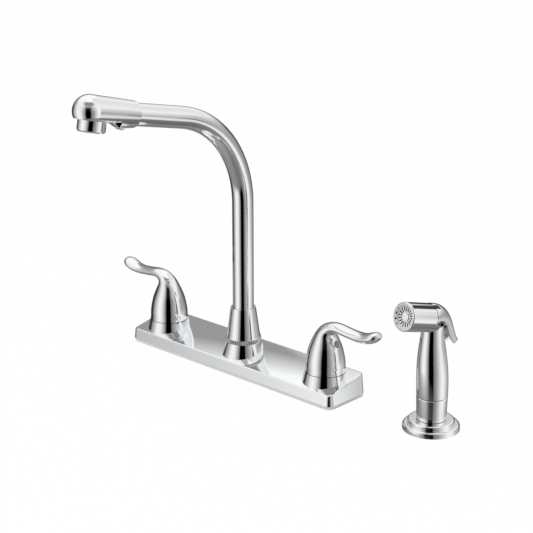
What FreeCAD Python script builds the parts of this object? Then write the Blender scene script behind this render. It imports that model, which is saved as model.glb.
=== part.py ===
"""Two-handle deck kitchen faucet with a high swivel spout and a separate side sprayer.

Millimetres. The origin is the middle of the deck plate on the sink deck, +Z is up, the spout points
along -Y at rest and the handles stand along X. Every size is a cell of the sheet "Sizes".
"""
import FreeCAD, Part
import math
import os
import re

import Sketcher

SIZES = {
    # Clearances shared by all pieces
    "seat_gap": 0.3,
    "slip_gap": 0.2,
    "touch_gap": 0.1,
    "run_gap": 0.05,
    "overrun": 6.0,
    # Deck plate and its gasket
    "handle_spacing": 203.2,
    "plate_overhang": 27.0,
    "plate_width": 50.0,
    "plate_front_height": 12.6,
    "plate_back_height": 22.8,
    "plate_draft": 5.0,
    "plate_corner_radius": 5.5,
    "plate_edge_radius": 1.8,
    "plate_wall": 3.0,
    "plate_end_wall": 5.0,
    "gasket_thickness": 3.0,
    "gasket_inset": 0.4,
    "gasket_band": 5.0,
    "gasket_corner_radius": 2.0,
    # Shanks under the deck and what clamps them
    "deck_thickness": 8.0,
    "shank_radius": 10.45,
    "shank_bore_radius": 5.2,
    "shank_relief_radius": 9.6,
    "shank_relief_length": 2.0,
    "inlet_length": 34.0,
    "washer_radius": 18.0,
    "washer_thickness": 2.0,
    "mounting_nut_radius": 16.5,
    "mounting_nut_height": 8.0,
    # Valve bodies, cartridges and base rings
    "barrel_radius": 14.0,
    "barrel_lift": 1.0,
    "neck_radius": 10.6,
    "neck_stand": 3.0,
    "base_ring_top": 24.0,
    "base_ring_top_radius": 18.6,
    "base_ring_foot_radius": 21.0,
    "base_ring_wall": 2.4,
    "base_ring_lip": 2.0,
    "bonnet_nut_height": 7.0,
    "bonnet_nut_radius": 13.6,
    "cartridge_radius": 8.6,
    "cartridge_depth": 21.0,
    "cartridge_bore_radius": 6.2,
    "cartridge_roof": 3.0,
    "cartridge_head_radius": 10.2,
    "cartridge_head_height": 4.0,
    "seal_height": 3.0,
    "seal_bore_radius": 4.4,
    "disc_height": 3.0,
    "disc_port_radius": 1.6,
    "disc_port_reach": 3.6,
    "stem_flange_height": 4.0,
    "stem_radius": 4.0,
    "stem_stand": 18.0,
    # Crossover tubes inside the deck plate
    "crossover_radius": 3.6,
    "crossover_bore_radius": 2.6,
    "crossover_level": 6.4,
    "crossover_socket": 5.0,
    # Lever handles
    "handle_gap": 0.4,
    "dome_radius": 18.3,
    "dome_height": 21.8,
    "dome_wall": 2.3,
    "dome_cavity_taper": 3.2,
    "lever_reach": 60.3,
    "lever_level": 42.9,
    "lever_half_width": 6.9,
    "lever_half_thickness": 4.2,
    "button_radius": 3.2,
    "button_thickness": 3.0,
    "button_crown": 0.4,
    "button_reach": 12.9,
    "button_drop": 4.0,
    "button_tilt": 21.0,
    "screw_radius": 1.9,
    "screw_length": 5.0,
    # Spout base
    "spout_flange_top": 26.4,
    "spout_flange_top_radius": 16.6,
    "spout_flange_foot_radius": 20.6,
    "spout_flange_wall": 2.6,
    "spout_flange_lip": 3.0,
    "knurl_height": 5.0,
    "knurl_radius": 16.3,
    "nut_height": 28.4,
    "nut_foot_radius": 15.7,
    "nut_top_radius": 11.7,
    "nut_lip_height": 7.5,
    "centre_neck_radius": 11.0,
    "centre_bore_radius": 9.4,
    "centre_bore_room": 2.0,
    "nipple_radius": 6.6,
    "nipple_bore_radius": 4.0,
    "nipple_length": 30.0,
    "diverter_seat": 8.0,
    "diverter_radius": 6.05,
    "diverter_height": 9.0,
    "diverter_waist_radius": 4.2,
    # Spout
    "collar_radius": 10.9,
    "collar_height": 5.8,
    "journal_length": 20.0,
    "journal_bore_radius": 6.0,
    "ring_groove_depth": 1.7,
    "ring_groove_width": 2.0,
    "ring_groove_pitch": 7.0,
    "ring_groove_first": 4.0,
    "ring_wire_radius": 0.75,
    "tube_radius": 9.75,
    "tube_wall": 1.5,
    "spout_corner_height": 235.2,
    "bend_radius": 92.0,
    "run_rise": 11.3,
    "run_length": 68.0,
    # Spout head and aerator
    "head_overlap": 12.5,
    "head_length": 62.0,
    "head_rear_radius": 11.4,
    "head_front_radius": 14.0,
    "head_rear_edge": 1.6,
    "head_skirt": 6.5,
    "head_chin_start": 14.0,
    "head_chin_run": 5.0,
    "head_passage_radius": 6.0,
    "head_outlet": 44.0,
    "head_outlet_radius": 9.6,
    "head_outlet_depth": 4.0,
    "wedge_width": 8.0,
    "wedge_front": 27.5,
    "wedge_low": 13.5,
    "wedge_rear": 11.0,
    "wedge_drop": 13.4,
    "wedge_heel": 1.6,
    "aerator_radius": 11.8,
    "aerator_height": 10.0,
    "aerator_bevel": 1.2,
    "aerator_lip": 1.4,
    "aerator_bore_radius": 8.6,
    "aerator_neck_length": 3.6,
    "screen_height": 5.0,
    "screen_dish": 1.0,
    "outlet_washer_height": 2.0,
    "outlet_washer_bore_radius": 5.6,
    # Side sprayer: holder and hose coupling
    "spray_x": 213.3,
    "spray_y": 8.6,
    "spray_turn": 9.0,
    "holder_radius": 24.5,
    "holder_foot_height": 5.0,
    "holder_foot_round": 2.2,
    "holder_step_radius": 20.2,
    "holder_height": 9.0,
    "holder_step_round": 1.8,
    "holder_socket_radius": 11.4,
    "holder_socket_depth": 14.0,
    "holder_bore_radius": 10.8,
    "holder_shank_radius": 14.2,
    "holder_shank_length": 38.0,
    "holder_gasket_radius": 21.0,
    "holder_gasket_height": 1.6,
    "holder_nut_radius": 21.0,
    "holder_nut_height": 9.0,
    "tail_radius": 10.9,
    "tail_drop": 4.0,
    "inlet_radius": 5.2,
    "inlet_depth": 16.0,
    "coupling_foot_radius": 12.75,
    "coupling_top_radius": 13.3,
    "coupling_height": 20.0,
    "coupling_edge": 0.8,
    "spigot_radius": 8.0,
    "spigot_height": 11.5,
    "spigot_bore_radius": 4.0,
    "coupling_washer_height": 1.8,
    # Side sprayer: grip and head
    "grip_gap": 0.6,
    "grip_radius": 13.5,
    "grip_lean": 2.4,
    "spray_head_height": 99.0,
    "grip_top_drop": 5.1,
    "spray_tilt": 14.0,
    "spray_head_radius": 12.2,
    "spray_head_front": 34.0,
    "spray_head_split": 9.5,
    "spray_shell_rear": 2.0,
    "spray_shell_edge": 1.6,
    "spray_notch_angle": 208.0,
    "spray_core_radius": 7.0,
    "spray_chamber_depth": 10.0,
    "spray_chamber_radius": 9.0,
    "spray_face_radius": 10.6,
    "spray_face_thickness": 2.0,
    "spray_face_boss_radius": 3.4,
    "spray_face_boss_height": 0.8,
    "spray_slot_length": 4.0,
    "spray_slot_width": 1.1,
    "spray_slot_reach": 4.6,
    "spray_rim_length": 3.0,
    "spray_rim_bore_radius": 9.8,
    "spray_rim_round": 1.2,
    # Side sprayer: thumb lever and valve
    "trigger_wall": 1.5,
    "trigger_gap": 0.6,
    "trigger_shoulder_radius": 9.8,
    "trigger_shoulder_y": 3.2,
    "trigger_shoulder_drop": 0.5,
    "trigger_shoulder_tilt": 42.0,
    "trigger_back_radius": 7.3,
    "trigger_back_y": 11.8,
    "trigger_back_drop": 10.8,
    "trigger_back_tilt": 65.0,
    "trigger_tip_radius": 4.6,
    "trigger_tip_y": 21.6,
    "trigger_tip_drop": 25.0,
    "trigger_skirt": 1.4,
    "trigger_back_skirt": 2.5,
    "trigger_tip_skirt": 2.2,
    "pivot_reach": 6.0,
    "pivot_lift": 2.5,
    "pivot_radius": 1.25,
    "pivot_length": 22.0,
    "valve_drop": 11.0,
    "valve_bore_radius": 3.2,
    "valve_bore_depth": 7.0,
    "valve_gland_length": 3.0,
    "valve_gland_place": 4.6,
    "valve_stem_radius": 1.4,
    "valve_stem_reach": 16.9,
    "valve_disc_radius": 3.1,
    "valve_disc_height": 1.6,
    "valve_disc_place": 1.4,
    "spring_wire_radius": 0.35,
    "spring_radius": 2.4,
    "spring_length": 7.0,
}

SPRING_TURNS = 4
SPRAY_SLOTS = 18
HEX_SIDES = 6
DISC_PORTS = 2

# Bell of the handle from its foot up: height and radius as shares
DOME_SHARES = [
    (0.0, 1.0),
    (0.25, 0.985),
    (0.5, 0.958),
    (0.75, 0.905),
    (1.0, 0.830),
]
# Neck and lever from the bell to the tip: reach, level, tilt in degrees, width and thickness as shares
LEVER_SHARES = [
    (0.002, 0.630, 1.5, 1.923, 3.143),
    (0.012, 0.755, 8, 1.600, 2.571),
    (0.042, 0.874, 27, 1.284, 1.905),
    (0.108, 0.961, 55, 1.072, 1.357),
    (0.197, 0.998, 79, 1.007, 1.119),
    (0.287, 1.001, 91.5, 0.986, 1.024),
    (0.378, 0.986, 95.5, 0.986, 1.000),
    (0.471, 0.972, 96.5, 0.986, 0.988),
    (0.561, 0.961, 94, 1.000, 0.993),
    (0.654, 0.958, 88, 1.036, 1.014),
    (0.745, 0.970, 79, 1.087, 1.055),
    (0.834, 1.001, 69, 1.130, 1.119),
    (0.908, 1.044, 63, 1.087, 1.095),
    (0.965, 1.083, 62, 0.841, 0.869),
    (1.000, 1.106, 62, 0.377, 0.429),
]
# Grip of the sprayer from its foot to the head: height, radius and lean as shares
GRIP_SHARES = [
    (0.0, 0.985, 0.0),
    (0.16, 1.0, 0.10),
    (0.38, 0.98, 0.38),
    (0.61, 0.885, 0.72),
    (0.85, 0.735, 0.92),
    (1.0, 0.70, 1.0),
]

doc = FreeCAD.newDocument("kitchen_faucet")
sheet = doc.addObject("Spreadsheet::Sheet", "Sizes")
for row, (alias, size) in enumerate(SIZES.items(), start=1):
    sheet.set("A%d" % row, alias)
    sheet.set("B%d" % row, str(size))
    sheet.setAlias("B%d" % row, alias)
doc.recompute()

WORD = re.compile(r"[a-z][a-z_]*")
NODES = []


def cells(text):
    """Turn a sum written in size names into an expression on the sheet's cells."""
    return WORD.sub(lambda found: "Sizes." + found[0] if found[0] in SIZES else found[0], text)


def number(text):
    """The present value of a sum written in size names."""
    return float(sheet.evalExpression(cells(text)))


def bind(thing, **sums):
    """Bind an object's properties to sums of sizes; two underscores stand for a dot."""
    for name, text in sums.items():
        thing.setExpression(name.replace("__", "."), cells(text))
    return thing


def place(thing, at, axis=None, angle=None):
    """Put an object at three sums of sizes, turned by an angle in degrees about an axis."""
    if axis is not None:
        turn = FreeCAD.Rotation(FreeCAD.Vector(*axis), 1)
        thing.Placement = FreeCAD.Placement(FreeCAD.Vector(), turn)
        thing.setExpression("Placement.Rotation.Angle", cells("(%s) * 1 deg" % angle))
    x, y, z = at
    return bind(thing, Placement__Base__x=x, Placement__Base__y=y, Placement__Base__z=z)


def node(thing, label):
    """Name a finished sub-part."""
    thing.Label = label
    NODES.append(thing)
    return thing


def new_body(name, at=("0", "0", "0"), axis=None, angle=None):
    return place(doc.addObject("PartDesign::Body", name + "_body"), at, axis, angle)


def new_sketch(body, plane, lift="0"):
    """An empty sketch on one of the body's own planes, lifted along the plane's normal."""
    sketch = body.newObject("Sketcher::SketchObject", body.Name + "_sketch")
    support = [item for item in body.Origin.OriginFeatures if item.Role == plane][0]
    sketch.AttachmentSupport = (support, "")
    sketch.MapMode = "FlatFace"
    return bind(sketch, AttachmentOffset__Base__z=lift)


def arc_between(start, end, radius, leftward):
    """A short arc from start to end that turns left or right."""
    middle = (start + end) * 0.5
    chord = end - start
    rise = math.sqrt(max(radius ** 2 - (chord.Length / 2) ** 2, 0))
    across = FreeCAD.Vector(-chord.y, chord.x, 0).normalize()
    centre = middle + across * (rise if leftward else -rise)
    first, last = (start, end) if leftward else (end, start)
    angles = [math.atan2(p.y - centre.y, p.x - centre.x) for p in (first, last)]
    return Part.ArcOfCircle(Part.Circle(centre, FreeCAD.Vector(0, 0, 1), radius), *angles)


def draw(sketch, points, closed=True):
    """Draw an outline of (x, y) or (x, y, radius, turn) points.

    A point with a radius starts an arc; turn is "left" or "right".
    """
    corners = [FreeCAD.Vector(number(p[0]), number(p[1]), 0) for p in points]
    count = len(points) if closed else len(points) - 1
    ends = []
    for i in range(count):
        start, end = corners[i], corners[(i + 1) % len(points)]
        if len(points[i]) == 2:
            edge = sketch.addGeometry(Part.LineSegment(start, end))
            ends.append((edge, 1, 2))
            continue
        leftward = points[i][3] == "left"
        edge = sketch.addGeometry(arc_between(start, end, number(points[i][2]), leftward))
        ends.append((edge, 1, 2) if leftward else (edge, 2, 1))
    for i in range(count if closed else count - 1):
        edge, _, last = ends[i]
        following, first, _ = ends[(i + 1) % count]
        sketch.addConstraint(Sketcher.Constraint("Coincident", edge, last, following, first))
    for i, corner in enumerate(corners):
        edge, first, last = ends[min(i, count - 1)]
        vertex = first if i < count else last
        for kind, text, size in zip(("DistanceX", "DistanceY"), points[i], (corner.x, corner.y)):
            index = sketch.addConstraint(Sketcher.Constraint(kind, edge, vertex, size))
            sketch.setExpression("Constraints[%d]" % index, cells(text))
    for i in range(count):
        if len(points[i]) > 2:
            radius = number(points[i][2])
            index = sketch.addConstraint(Sketcher.Constraint("Radius", ends[i][0], radius))
            sketch.setExpression("Constraints[%d]" % index, cells(points[i][2]))
    return sketch


def draw_circle(sketch, x, y, radius):
    centre = FreeCAD.Vector(number(x), number(y), 0)
    circle = Part.Circle(centre, FreeCAD.Vector(0, 0, 1), number(radius))
    edge = sketch.addGeometry(circle)
    for kind, text, size in zip(("DistanceX", "DistanceY"), (x, y), (centre.x, centre.y)):
        index = sketch.addConstraint(Sketcher.Constraint(kind, edge, 3, size))
        sketch.setExpression("Constraints[%d]" % index, cells(text))
    index = sketch.addConstraint(Sketcher.Constraint("Radius", edge, number(radius)))
    sketch.setExpression("Constraints[%d]" % index, cells(radius))
    return sketch


def feature(body, kind, sketch, **sums):
    made = body.newObject("PartDesign::" + kind, body.Name + "_" + kind.lower())
    made.Profile = sketch
    bind(made, **sums)
    doc.recompute()
    return made


def turn(body, points, kind="Revolution"):
    """Revolve an outline of (radius, height) points about the body's Z axis, or groove with it."""
    sketch = draw(new_sketch(body, "XZ_Plane"), points)
    made = feature(body, kind, sketch)
    made.ReferenceAxis = (sketch, ["V_Axis"])
    made.Angle = 360
    doc.recompute()
    return made


def slab(body, points, width, kind="Pad"):
    """Extrude an outline of (y, z) points evenly to both sides of the body's YZ plane."""
    made = feature(body, kind, draw(new_sketch(body, "YZ_Plane"), points), Length=width)
    made.SideType = "Symmetric"
    doc.recompute()
    return made


def soften(body, base, edges, radius):
    """Round the given edges of a body's feature."""
    fillet = body.newObject("PartDesign::Fillet", body.Name + "_fillet")
    wanted = []
    for index, edge in enumerate(base.Shape.Edges, start=1):
        if any(edge.isSame(other) for other in edges):
            wanted.append("Edge%d" % index)
    fillet.Base = (base, wanted)
    bind(fillet, Radius=radius)
    doc.recompute()
    return fillet


def turned(label, points, at=("0", "0", "0"), axis=None, angle=None):
    """A sub-part that is one revolved outline."""
    body = new_body(label, at, axis, angle)
    turn(body, points)
    return body


def solid(kind, name, at=("0", "0", "0"), axis=None, angle=None, **sums):
    """A Part primitive bound to sizes."""
    return place(bind(doc.addObject("Part::" + kind, name), **sums), at, axis, angle)


def cut(name, base, *tools):
    for count, tool in enumerate(tools):
        made = doc.addObject("Part::Cut", "%s_cut_%d" % (name, count))
        made.Base = base
        made.Tool = tool
        base = made
    doc.recompute()
    return base


def fuse(name, base, tool):
    made = doc.addObject("Part::Fuse", name + "_fuse")
    made.Base = base
    made.Tool = tool
    doc.recompute()
    return made


def group(label, pieces):
    """Like pieces that share one node as separate solids."""
    made = doc.addObject("Part::Compound", label + "_group")
    made.Links = pieces
    return node(made, label)


def loft(name, sections):
    made = doc.addObject("Part::Loft", name + "_loft")
    made.Sections = sections
    made.Solid = True
    doc.recompute()
    return made


def rounded_rectangle(length, width, radius):
    """Outline of a rectangle with rounded corners about the origin, as drawing points."""
    x, y = "(%s) / 2" % length, "(%s) / 2" % width
    inner_x, inner_y = "%s - %s" % (x, radius), "%s - %s" % (y, radius)
    return [
        ("-(%s)" % inner_x, "-(%s)" % y),
        (inner_x, "-(%s)" % y, radius, "left"),
        (x, "-(%s)" % inner_y),
        (x, inner_y, radius, "left"),
        (inner_x, y),
        ("-(%s)" % inner_x, y, radius, "left"),
        ("-(%s)" % x, inner_y),
        ("-(%s)" % x, "-(%s)" % inner_y, radius, "left"),
    ]


def hexagon(radius):
    """Corners of a hexagon about the origin, as drawing points."""
    turns = ["%d * 1 deg" % (360 * i / HEX_SIDES) for i in range(HEX_SIDES)]
    return [("%s * cos(%s)" % (radius, a), "%s * sin(%s)" % (radius, a)) for a in turns]


def hex_nut(name, radius, bore, height, at):
    """A plain hexagon nut that stands on the given point."""
    body = new_body(name, at)
    sketch = draw(new_sketch(body, "XY_Plane"), hexagon(radius))
    draw_circle(sketch, "0", "0", bore)
    feature(body, "Pad", sketch, Length=height)
    return body


# Heights and places worked out from the sizes
PLATE_LENGTH = "(handle_spacing + 2 * plate_overhang)"
SLOPE = "((plate_back_height - plate_front_height) / plate_width)"
PLATE_MIDDLE = "((plate_front_height + plate_back_height) / 2)"
BARREL_TOP = "(%s - plate_wall - barrel_radius * %s - seat_gap)" % (PLATE_MIDDLE, SLOPE)
NUT_TOP_BELOW = "(-deck_thickness - washer_thickness)"
RELIEF_TOP = "(%s - mounting_nut_height - touch_gap)" % NUT_TOP_BELOW
INLET_TOP = "(%s - shank_relief_length)" % RELIEF_TOP
INLET_FOOT = "(%s - inlet_length)" % INLET_TOP
NECK_TOP = "(base_ring_top + bonnet_nut_height + neck_stand)"
CARTRIDGE_TOP = "(%s + cartridge_head_height)" % NECK_TOP
CARTRIDGE_FOOT = "(%s - cartridge_depth)" % NECK_TOP
FIXED_DISC_FOOT = "(%s + seal_height)" % CARTRIDGE_FOOT
MOVING_DISC_FOOT = "(%s + disc_height + run_gap)" % FIXED_DISC_FOOT
STEM_FOOT = "(%s + disc_height)" % MOVING_DISC_FOOT
STEM_TOP = "(%s + stem_stand)" % CARTRIDGE_TOP
DOME_FOOT = "(base_ring_top + handle_gap)"
BUTTON_LEVEL = "(%s - button_drop)" % STEM_TOP
KNURL_TOP = "(spout_flange_top + knurl_height)"
SPOUT_NUT_TOP = "(%s + nut_height)" % KNURL_TOP
LIP_FOOT = "(%s - nut_lip_height)" % SPOUT_NUT_TOP
COLLAR_TOP = "(%s - slip_gap)" % LIP_FOOT
COLLAR_FOOT = "(%s - collar_height)" % COLLAR_TOP
CENTRE_NECK_TOP = "(%s - slip_gap)" % COLLAR_FOOT
JOURNAL_FOOT = "(%s - journal_length)" % COLLAR_FOOT
BEND_TURN = "(90 - run_rise) * 1 deg"
BEND_FOOT = "(spout_corner_height - bend_radius * tan((90 - run_rise) / 2 * 1 deg))"
BEND_END_Y = "(bend_radius * cos(%s) - bend_radius)" % BEND_TURN
BEND_END_Z = "(%s + bend_radius * sin(%s))" % (BEND_FOOT, BEND_TURN)
HEAD_Y = "(%s - (run_length - head_overlap) * cos(run_rise * 1 deg))" % BEND_END_Y
HEAD_Z = "(%s + (run_length - head_overlap) * sin(run_rise * 1 deg))" % BEND_END_Z
HOLDER_NUT_TOP = "(-deck_thickness)"
COUPLING_FOOT = "(holder_height + seat_gap)"
COUPLING_TOP = "(%s + coupling_height)" % COUPLING_FOOT
SPIGOT_TOP = "(%s + spigot_height)" % COUPLING_TOP
GRIP_FOOT = "(%s + grip_gap)" % COUPLING_TOP
GRIP_HEIGHT = "(spray_head_height - grip_top_drop - %s)" % GRIP_FOOT
WASHER_FOOT = "(%s + slip_gap)" % SPIGOT_TOP
SOCKET_TOP = "(%s + coupling_washer_height)" % WASHER_FOOT


def deck_level(y):
    """Height of the plate's sloped top at a distance behind its middle."""
    return "(%s + (%s) * %s)" % (PLATE_MIDDLE, y, SLOPE)


def along(y, z, tilt, reach, lift):
    """A point in the YZ plane, reach along an axis that rises forward by tilt, and lift above it."""
    angle = "%s * 1 deg" % tilt
    forward = "(%s - (%s) * cos(%s) + (%s) * sin(%s))" % (y, reach, angle, lift, angle)
    upward = "(%s + (%s) * sin(%s) + (%s) * cos(%s))" % (z, reach, angle, lift, angle)
    return forward, upward


# Deck plate: a wedge-shaped shell with three holes and a soft top edge
def make_deck_plate():
    body = new_body("deck_plate")
    sketch = new_sketch(body, "XY_Plane", "gasket_thickness")
    draw(sketch, rounded_rectangle(PLATE_LENGTH, "plate_width", "plate_corner_radius"))
    pad = feature(body, "Pad", sketch, Length="plate_back_height - gasket_thickness")
    bind(pad, TaperAngle="-plate_draft")
    top = "(plate_back_height * 2)"
    slope_cut = [
        ("-plate_width", deck_level("-plate_width")),
        ("plate_width", deck_level("plate_width")),
        ("plate_width", top),
        ("-plate_width", top),
    ]
    wedge = slab(body, slope_cut, PLATE_LENGTH + " * 2", "Pocket")
    top_face = max(wedge.Shape.Faces, key=lambda face: face.CenterOfMass.z)
    soften(body, wedge, top_face.OuterWire.Edges, "plate_edge_radius")
    half = "(plate_width / 2 - plate_wall)"
    front_roof = deck_level("-" + half) + " - plate_wall"
    back_roof = deck_level(half) + " - plate_wall"
    lean = "tan(plate_draft * 1 deg)"
    hollow = [
        ("-" + half, "0"),
        (half, "0"),
        ("%s - (%s - gasket_thickness) * %s" % (half, back_roof, lean), back_roof),
        ("-%s + (%s - gasket_thickness) * %s" % (half, front_roof, lean), front_roof),
    ]
    slab(body, hollow, PLATE_LENGTH + " - 2 * plate_end_wall", "Pocket")
    sketch = new_sketch(body, "XY_Plane")
    for x in ("-handle_spacing / 2", "handle_spacing / 2"):
        draw_circle(sketch, x, "0", "neck_radius + seat_gap")
    draw_circle(sketch, "0", "0", "centre_neck_radius + seat_gap")
    holes = feature(body, "Pocket", sketch, Length="plate_back_height * 2")
    holes.Reversed = True
    node(body, "deck_plate")


# Foot gasket: a rubber frame under the rim of the plate
def make_deck_gasket():
    body = new_body("deck_gasket")
    length, width = PLATE_LENGTH + " - 2 * gasket_inset", "plate_width - 2 * gasket_inset"
    sketch = draw(new_sketch(body, "XY_Plane"), rounded_rectangle(length, width, "plate_corner_radius"))
    inner_length, inner_width = [side + " - 2 * gasket_band" for side in (length, width)]
    draw(sketch, rounded_rectangle(inner_length, inner_width, "gasket_corner_radius"))
    feature(body, "Pad", sketch, Length="gasket_thickness")
    node(body, "deck_gasket")


SIDES = (("hot", -1), ("cold", 1))


def side_x(sign):
    return "(%d * handle_spacing / 2)" % sign


def sloped_ring(label, x, foot_radius, top_radius, top, wall, lip, bore):
    """A flared ring whose foot is cut to the plate's slope, with a lip inside its top."""
    body = new_body(label, (x, "0", "0"))
    foot = deck_level("-" + foot_radius)
    lip_foot = "%s - %s" % (top, lip)
    turn(body, [
        (foot_radius + " - " + wall, foot),
        (foot_radius, foot),
        (top_radius, top),
        (bore, top),
        (bore, lip_foot),
        (top_radius + " - " + wall, lip_foot),
    ])
    reach = "(%s * 2)" % foot_radius
    below_slope = [
        ("-" + reach, deck_level("-" + reach)),
        ("-" + reach, "-" + reach),
        (reach, "-" + reach),
        (reach, deck_level(reach)),
    ]
    slab(body, below_slope, "%s * 2" % reach, "Pocket")
    node(body, label)


# Valve body: inlet shank, barrel inside the plate and the neck that holds the cartridge
def make_valve_body(side, sign):
    label = side + "_valve_body"
    body = new_body(label, (side_x(sign), "0", "0"))
    turn(body, [
        ("shank_bore_radius", INLET_FOOT),
        ("shank_radius", INLET_FOOT),
        ("shank_radius", INLET_TOP),
        ("shank_relief_radius", INLET_TOP),
        ("shank_relief_radius", RELIEF_TOP),
        ("shank_radius", RELIEF_TOP),
        ("shank_radius", "barrel_lift"),
        ("barrel_radius", "barrel_lift"),
        ("barrel_radius", BARREL_TOP),
        ("neck_radius", BARREL_TOP),
        ("neck_radius", NECK_TOP),
        ("cartridge_radius + touch_gap", NECK_TOP),
        ("cartridge_radius + touch_gap", CARTRIDGE_FOOT),
        ("shank_bore_radius", CARTRIDGE_FOOT),
    ])
    sketch = new_sketch(body, "YZ_Plane")
    draw_circle(sketch, "0", "crossover_level", "crossover_radius + touch_gap")
    socket = feature(body, "Pocket", sketch, Length="barrel_radius + overrun")
    socket.Reversed = sign < 0
    doc.recompute()
    node(body, label)


# Cartridge: ported ceramic discs in a shell, turned by the stem
def make_cartridge(side, sign):
    at = (side_x(sign), "0", "0")
    shell = [
        ("cartridge_bore_radius", CARTRIDGE_FOOT),
        ("cartridge_radius", CARTRIDGE_FOOT),
        ("cartridge_radius", NECK_TOP),
        ("cartridge_head_radius", NECK_TOP),
        ("cartridge_head_radius", CARTRIDGE_TOP),
        ("stem_radius + run_gap", CARTRIDGE_TOP),
        ("stem_radius + run_gap", NECK_TOP + " - cartridge_roof"),
        ("cartridge_bore_radius", NECK_TOP + " - cartridge_roof"),
    ]
    node(turned(side + "_cartridge", shell, at), side + "_cartridge")
    disc_radius = "(cartridge_bore_radius - touch_gap)"
    seal = [
        ("seal_bore_radius", CARTRIDGE_FOOT),
        (disc_radius, CARTRIDGE_FOOT),
        (disc_radius, FIXED_DISC_FOOT),
        ("seal_bore_radius", FIXED_DISC_FOOT),
    ]
    node(turned(side + "_seat_seal", seal, at), side + "_seat_seal")
    for label, foot in (("fixed_disc", FIXED_DISC_FOOT), ("moving_disc", MOVING_DISC_FOOT)):
        body = new_body(side + "_" + label, at)
        sketch = draw_circle(new_sketch(body, "XY_Plane", foot), "0", "0", disc_radius)
        for port in range(DISC_PORTS):
            angle = "%d * 1 deg" % (360 * port / DISC_PORTS)
            port_x = "disc_port_reach * cos(%s)" % angle
            port_y = "disc_port_reach * sin(%s)" % angle
            draw_circle(sketch, port_x, port_y, "disc_port_radius")
        feature(body, "Pad", sketch, Length="disc_height")
        node(body, side + "_" + label)
    stem = [
        ("0", STEM_FOOT),
        (disc_radius, STEM_FOOT),
        (disc_radius, STEM_FOOT + " + stem_flange_height"),
        ("stem_radius", STEM_FOOT + " + stem_flange_height"),
        ("stem_radius", STEM_TOP),
        ("0", STEM_TOP),
    ]
    node(turned(side + "_stem", stem, at), side + "_stem")
    nut = hex_nut(
        side + "_bonnet_nut", "bonnet_nut_radius", "neck_radius + touch_gap", "bonnet_nut_height",
        (side_x(sign), "0", "base_ring_top"),
    )
    node(nut, side + "_bonnet_nut")


# Handle: a leaning bell and a lever in one casting, with a set screw behind an index button
def make_handle(side, sign):
    x = side_x(sign)
    across = FreeCAD.Rotation(FreeCAD.Vector(0, 0, 1), 90)
    sections = []
    for height_share, radius_share in DOME_SHARES:
        ring = solid("Circle", side + "_dome_ring", Radius="dome_radius * %s" % radius_share)
        ring.Placement = FreeCAD.Placement(FreeCAD.Vector(), across)
        sections.append(place(ring, (x, "0", "%s + dome_height * %s" % (DOME_FOOT, height_share))))
    for reach_share, level_share, tilt, width_share, thickness_share in LEVER_SHARES:
        oval = solid(
            "Ellipse", side + "_lever_oval",
            MajorRadius="lever_half_width * %s" % width_share,
            MinorRadius="lever_half_thickness * %s" % thickness_share,
        )
        leaning = FreeCAD.Rotation(FreeCAD.Vector(0, sign, 0), tilt)
        oval.Placement = FreeCAD.Placement(FreeCAD.Vector(), leaning.multiply(across))
        oval_x = "%s + %d * lever_reach * %s" % (x, sign, reach_share)
        oval_z = "%s + lever_level * %s" % (DOME_FOOT, level_share)
        sections.append(place(oval, (oval_x, "0", oval_z)))
    casting = loft(side + "_handle", sections)
    cavity_height = "%s + seat_gap * 2 - %s" % (CARTRIDGE_TOP, DOME_FOOT)
    cavity = solid(
        "Cone", side + "_cavity", (x, "0", DOME_FOOT), Radius1="dome_radius - dome_wall",
        Radius2="dome_radius - dome_wall - dome_cavity_taper", Height=cavity_height,
    )
    bore = solid(
        "Cylinder", side + "_stem_bore", (x, "0", DOME_FOOT), Radius="stem_radius + touch_gap",
        Height="%s - %s + touch_gap" % (STEM_TOP, DOME_FOOT),
    )
    spot = ("%s + %d * button_reach" % (x, sign), "0", BUTTON_LEVEL)
    outward = {"axis": (0, sign, 0), "angle": "90 - button_tilt"}
    lean = "(button_tilt * 1 deg)"
    hole = [
        ("0", "-button_reach / cos(%s)" % lean),
        ("screw_radius + touch_gap", "-button_reach / cos(%s)" % lean),
        ("screw_radius + touch_gap", "-button_thickness"),
        ("button_radius + touch_gap", "-button_thickness"),
        ("button_radius + touch_gap", "overrun"),
        ("0", "overrun"),
    ]
    node(cut(side + "_handle", casting, cavity, bore, turned(side + "_hole", hole, spot, **outward)),
         side + "_handle")
    crown_radius = "(button_radius * button_radius + button_crown * button_crown) / (2 * button_crown)"
    button = [
        ("0", "-button_thickness"),
        ("button_radius", "-button_thickness"),
        ("button_radius", "0", crown_radius, "left"),
        ("0", "button_crown"),
    ]
    node(turned(side + "_index_button", button, spot, **outward), side + "_index_button")
    screw_foot = "(screw_radius * tan(%s) + seat_gap - (button_reach - stem_radius) / cos(%s))" % (lean, lean)
    screw = [
        ("0", screw_foot),
        ("screw_radius", screw_foot),
        ("screw_radius", screw_foot + " + screw_length"),
        ("0", screw_foot + " + screw_length"),
    ]
    node(turned(side + "_set_screw", screw, spot, **outward), side + "_set_screw")


# Crossover tube from a valve body to the centre body
def make_crossover(side, sign):
    start = "(barrel_radius - crossover_socket)"
    length = "handle_spacing / 2 - 2 * %s" % start
    tube = [
        ("crossover_bore_radius", "0"),
        ("crossover_radius", "0"),
        ("crossover_radius", length),
        ("crossover_bore_radius", length),
    ]
    at = ("%d * %s" % (sign, start), "0", "crossover_level")
    label = side + "_crossover"
    node(turned(label, tube, at, axis=(0, sign, 0), angle="90"), label)


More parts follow.
